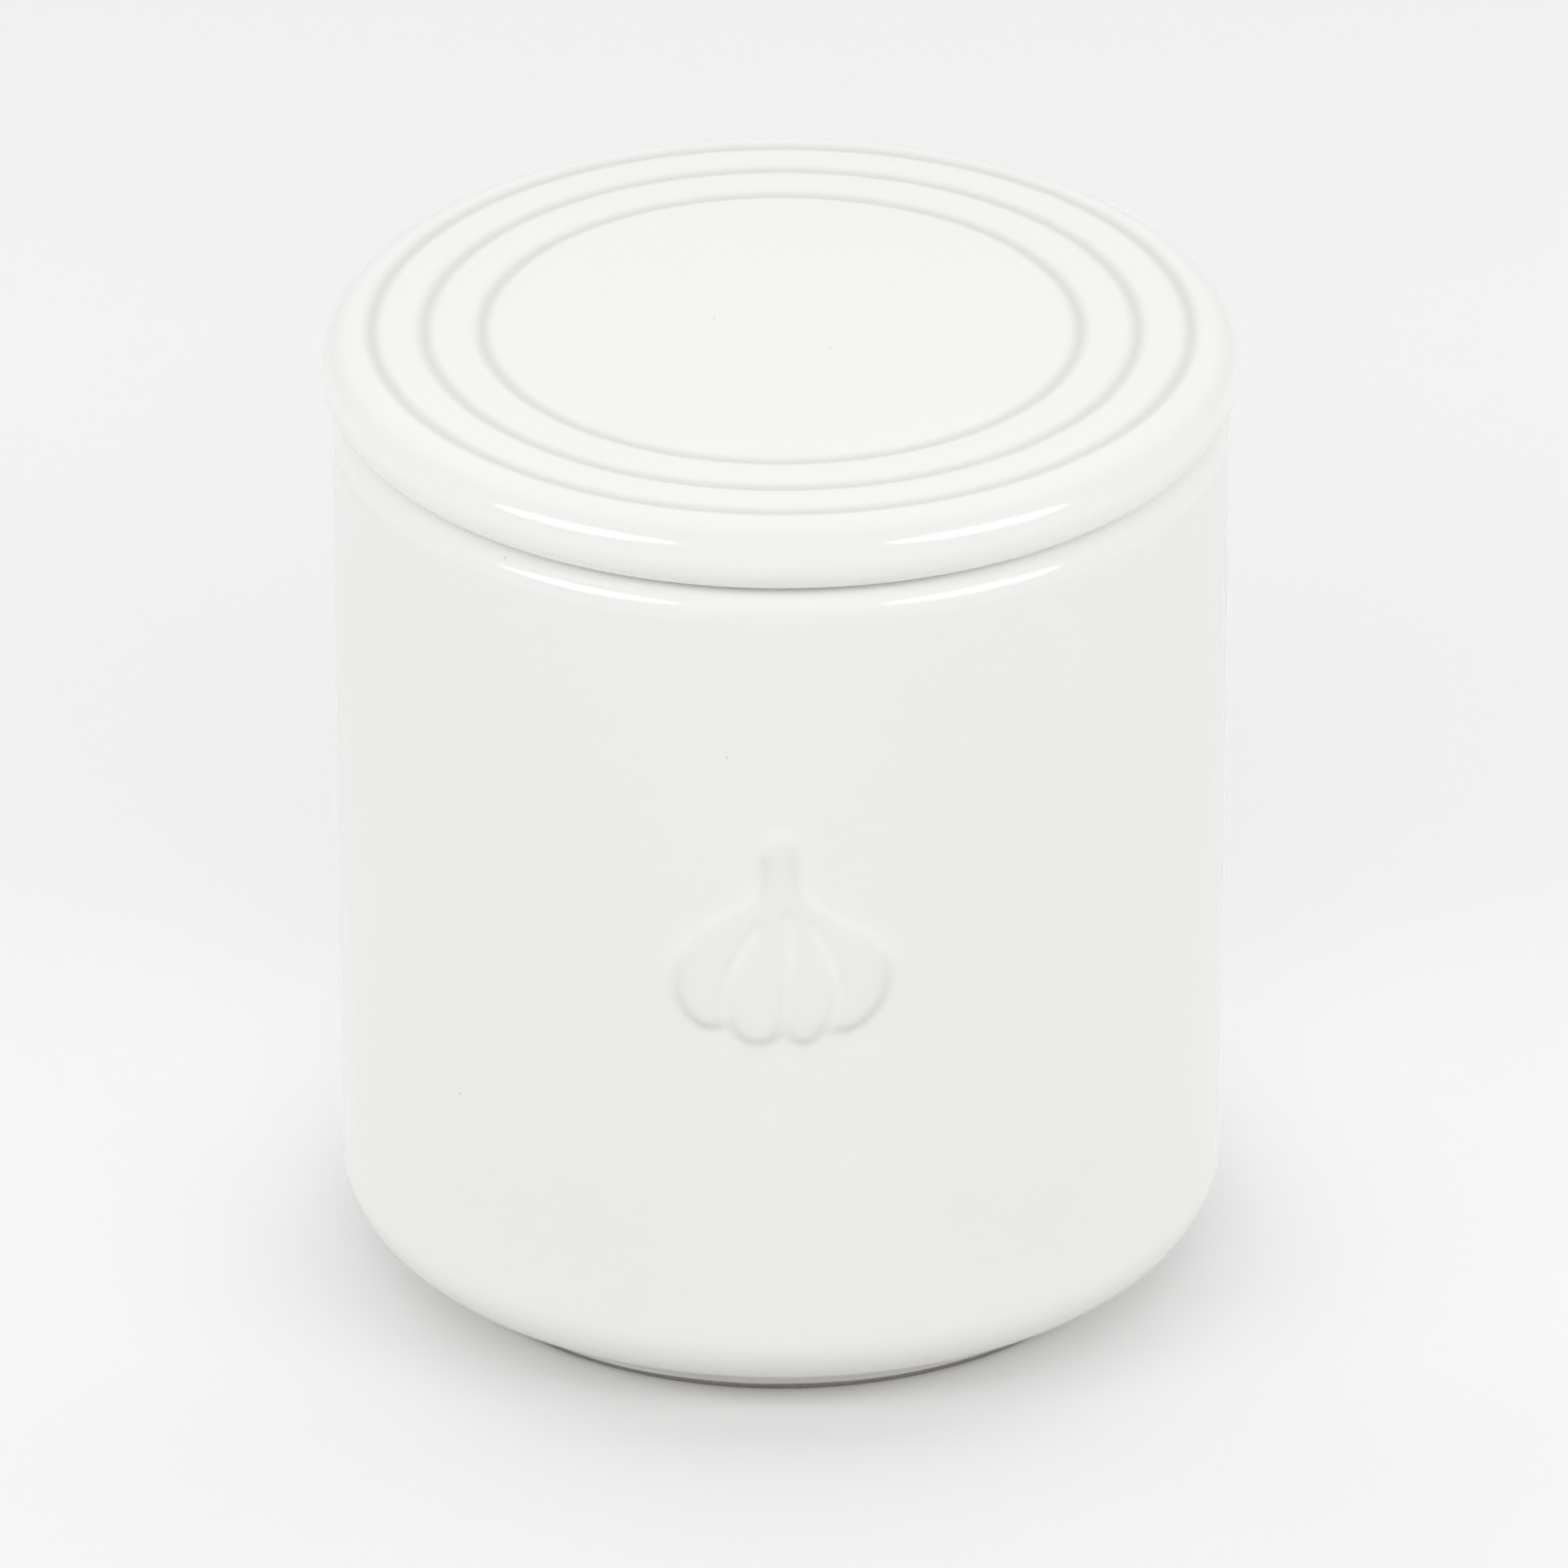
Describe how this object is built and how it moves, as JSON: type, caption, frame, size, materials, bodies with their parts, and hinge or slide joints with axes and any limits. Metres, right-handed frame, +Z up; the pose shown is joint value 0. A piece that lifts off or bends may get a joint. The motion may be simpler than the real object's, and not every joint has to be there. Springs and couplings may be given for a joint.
{
  "type": "garlic keeper",
  "caption": "Round white glazed stoneware garlic keeper: footed crock with a raised garlic bulb and rear air holes, and a flat lift-off lid with ring grooves.",
  "frame": {"origin": "centre of the ring on which the foot stands", "axes": "+Z up along the axis of the crock; the front with the raised garlic bulb faces -Y and the air holes face +Y"},
  "size_m": [0.115, 0.115, 0.1272],
  "materials": {
    "crock_glaze": "glossy white glaze over stoneware",
    "lid_glaze": "glossy white glaze over stoneware"
  },
  "bodies": {
    "crock": {"crock": "crock_glaze"},
    "lid": {"lid": "lid_glaze"}
  },
  "joints": [
    {"name": "lid_lift", "type": "slide", "parent": "crock", "child": "lid", "axis": [0, 0, 1], "range_m": [0, 0.1]}
  ]
}
